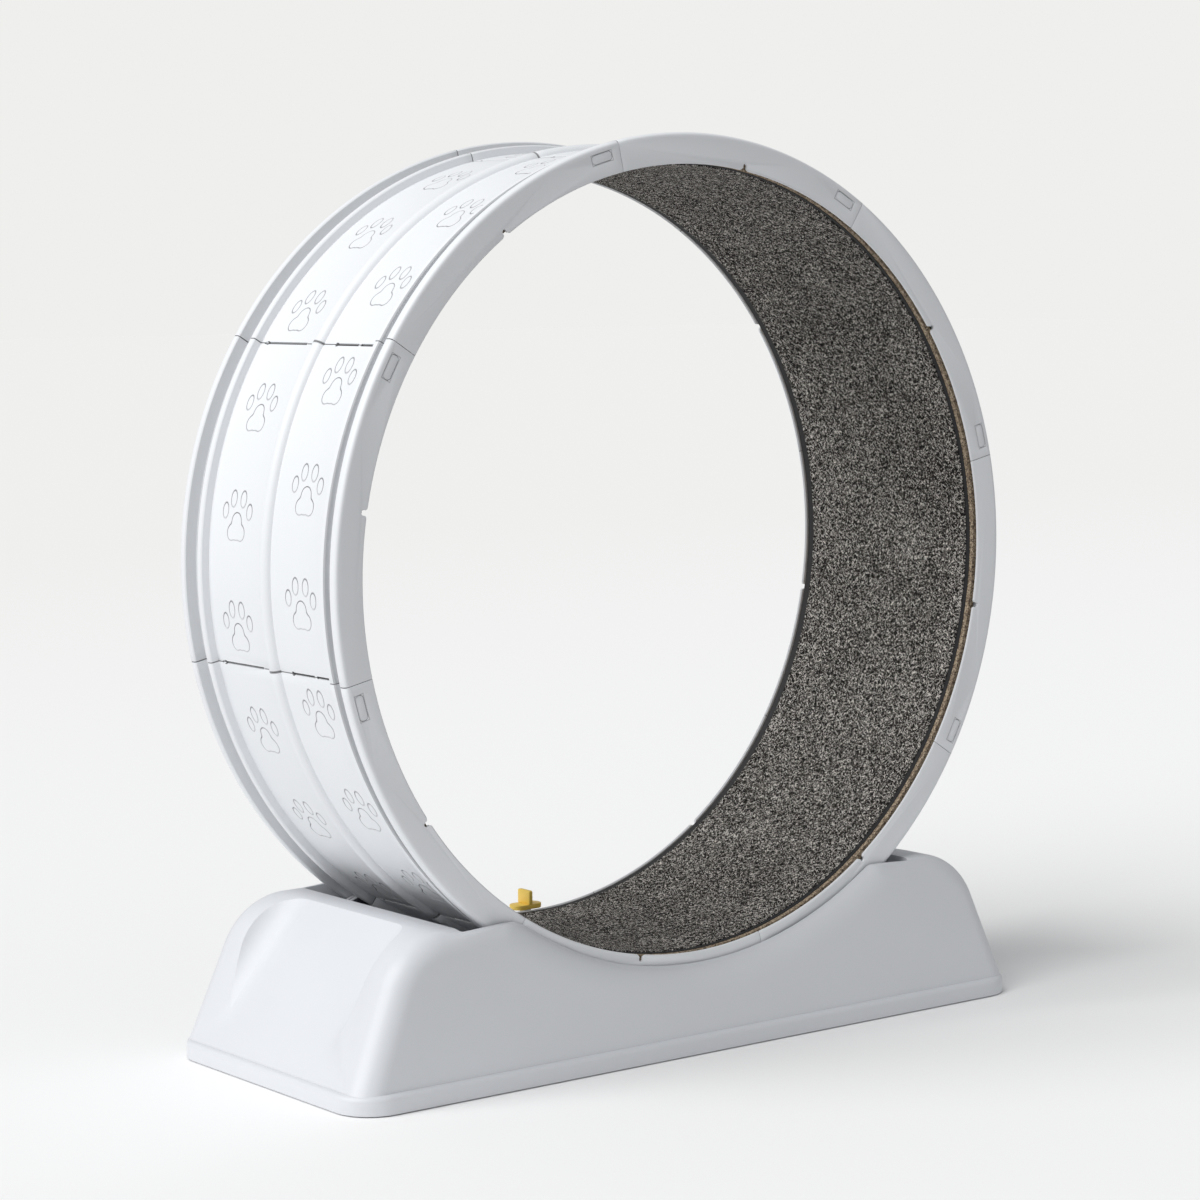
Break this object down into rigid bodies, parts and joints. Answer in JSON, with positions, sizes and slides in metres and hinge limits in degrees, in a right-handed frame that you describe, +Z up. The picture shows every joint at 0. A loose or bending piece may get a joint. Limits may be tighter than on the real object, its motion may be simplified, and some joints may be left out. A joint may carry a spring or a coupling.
{
  "type": "cat exercise wheel",
  "caption": "Free-standing running wheel for cats: a snapped segmented rim with a felt lining turns on rollers in a low moulded base with a turning keeper.",
  "frame": {"origin": "on the floor under the middle of the wheel's axis, at the bottom centre of the bounding box", "axes": "+Y along the wheel's axis from the front face to the rear face, with the yellow keeper on the rear wall; +Z up; +X to the right seen from the front"},
  "size_m": [1.006, 0.402, 1.0786],
  "materials": {
    "rim_plastic": "satin moulded plastic, pale cool grey",
    "base_plastic": "satin moulded plastic, pale cool grey",
    "inner_plastic": "moulded plastic, grey",
    "hub_plastic": "moulded plastic, dark grey",
    "bush_plastic": "smooth bearing plastic, ivory",
    "tread": "soft tread, light grey with a dark groove",
    "felt": "needled felt, dark grey with light flecks",
    "underlay_rubber": "matt black sheet rubber",
    "board": "pressed fibre board, speckled brown",
    "steel": "zinc-plated steel",
    "foot_rubber": "matt black rubber",
    "button_plastic": "satin moulded plastic, warm yellow"
  },
  "bodies": {
    "base": {"base_shell": "base_plastic", "base_tray": "inner_plastic", "roller_bracket_front_left": "inner_plastic", "roller_bracket_front_right": "inner_plastic", "roller_bracket_rear_left": "inner_plastic", "roller_bracket_rear_right": "inner_plastic", "axle_pins": "steel", "axle_clips": "steel", "bracket_screws": "steel", "tray_screws": "steel", "rubber_feet": "foot_rubber"},
    "wheel": {"rim_segment_1": "rim_plastic", "rim_segment_2": "rim_plastic", "rim_segment_3": "rim_plastic", "rim_segment_4": "rim_plastic", "rim_segment_5": "rim_plastic", "rim_segment_6": "rim_plastic", "rim_segment_7": "rim_plastic", "rim_segment_8": "rim_plastic", "mat_board": "board", "mat_underlay": "underlay_rubber", "mat_felt": "felt"},
    "roller_front_left": {"roller_hub_front_left": "hub_plastic", "roller_tyre_front_left": "tread", "roller_bushes_front_left": "bush_plastic"},
    "roller_front_right": {"roller_hub_front_right": "hub_plastic", "roller_tyre_front_right": "tread", "roller_bushes_front_right": "bush_plastic"},
    "roller_rear_left": {"roller_hub_rear_left": "hub_plastic", "roller_tyre_rear_left": "tread", "roller_bushes_rear_left": "bush_plastic"},
    "roller_rear_right": {"roller_hub_rear_right": "hub_plastic", "roller_tyre_rear_right": "tread", "roller_bushes_rear_right": "bush_plastic"},
    "button": {"turn_button": "button_plastic", "button_washer": "steel", "button_screw": "steel"}
  },
  "joints": [
    {"name": "wheel_spin", "type": "hinge", "parent": "base", "child": "wheel", "pos_m": [0, 0, 0.5786], "axis": [0, 1, 0], "continuous": true},
    {"name": "front_left_roller_spin", "type": "hinge", "parent": "base", "child": "roller_front_left", "pos_m": [-0.27275, -0.1433, 0.14211], "axis": [0, 1, 0], "continuous": true},
    {"name": "front_right_roller_spin", "type": "hinge", "parent": "base", "child": "roller_front_right", "pos_m": [0.27275, -0.1433, 0.14211], "axis": [0, 1, 0], "continuous": true},
    {"name": "rear_left_roller_spin", "type": "hinge", "parent": "base", "child": "roller_rear_left", "pos_m": [-0.27275, 0.1433, 0.14211], "axis": [0, 1, 0], "continuous": true},
    {"name": "rear_right_roller_spin", "type": "hinge", "parent": "base", "child": "roller_rear_right", "pos_m": [0.27275, 0.1433, 0.14211], "axis": [0, 1, 0], "continuous": true},
    {"name": "button_turn", "type": "hinge", "parent": "base", "child": "button", "pos_m": [0, 0.1746, 0.12], "axis": [0, 0, 1], "range_deg": [0, 90]}
  ],
  "couplings": [
    {"joint": "front_left_roller_spin", "follows": "wheel_spin", "ratio": -16.497},
    {"joint": "front_right_roller_spin", "follows": "wheel_spin", "ratio": -16.497},
    {"joint": "rear_left_roller_spin", "follows": "wheel_spin", "ratio": -16.497},
    {"joint": "rear_right_roller_spin", "follows": "wheel_spin", "ratio": -16.497}
  ]
}
